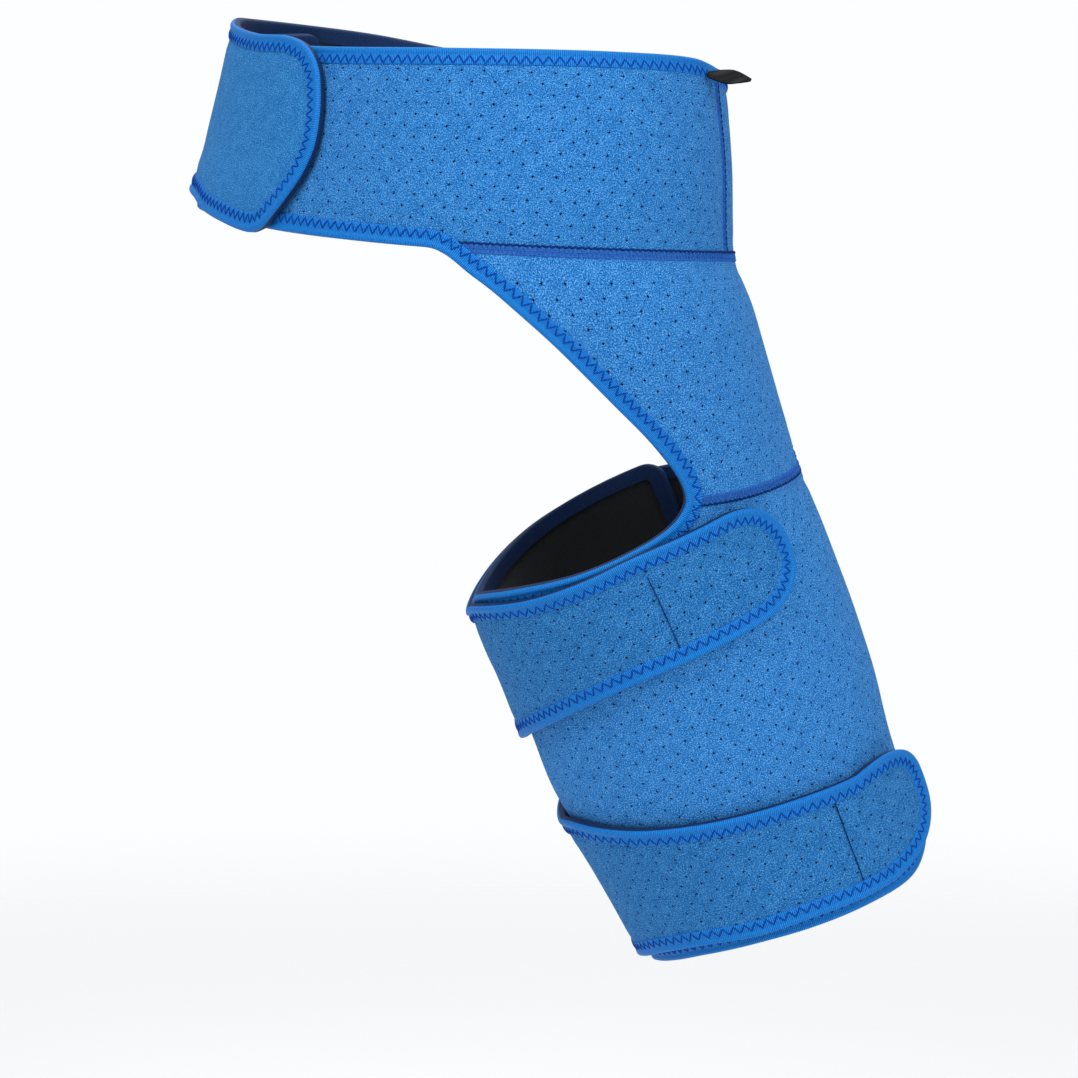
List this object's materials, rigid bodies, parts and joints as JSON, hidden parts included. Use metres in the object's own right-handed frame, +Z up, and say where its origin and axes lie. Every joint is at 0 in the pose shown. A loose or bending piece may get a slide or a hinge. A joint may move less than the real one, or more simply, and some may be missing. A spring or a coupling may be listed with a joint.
{
  "type": "hip and groin support",
  "caption": "Blue hip and groin support in worn form: perforated foam-laminate waist belt, hip panel and thigh wrap with bound edges, a waist flap and thigh straps.",
  "frame": {"origin": "centre of the waist opening, halfway down the belt", "axes": "+X towards the wearer's right, +Y towards the wearer's front, +Z up"},
  "size_m": [0.3706, 0.3702, 0.5161],
  "materials": {
    "perforated_fabric": "brushed loop fabric on foam, perforated, matt",
    "plain_fabric": "brushed loop fabric on foam, matt",
    "binding_tape": "woven polyester tape, slight sheen",
    "hook_tape": "black hook fastener tape",
    "label_satin": "black satin, blank"
  },
  "bodies": {
    "root": {"belt_back": "perforated_fabric", "belt_front": "perforated_fabric", "closure_flap": "plain_fabric", "hip_panel": "perforated_fabric", "thigh_wrap": "perforated_fabric", "upper_strap": "perforated_fabric", "lower_strap": "perforated_fabric", "flap_hook": "hook_tape", "upper_strap_hook": "hook_tape", "lower_strap_hook": "hook_tape", "belt_back_binding": "binding_tape", "belt_front_binding": "binding_tape", "rear_binding": "binding_tape", "front_binding": "binding_tape", "hem_binding": "binding_tape", "flap_binding": "binding_tape", "upper_strap_binding": "binding_tape", "lower_strap_binding": "binding_tape", "fork_binding": "binding_tape", "label": "label_satin"}
  },
  "joints": []
}
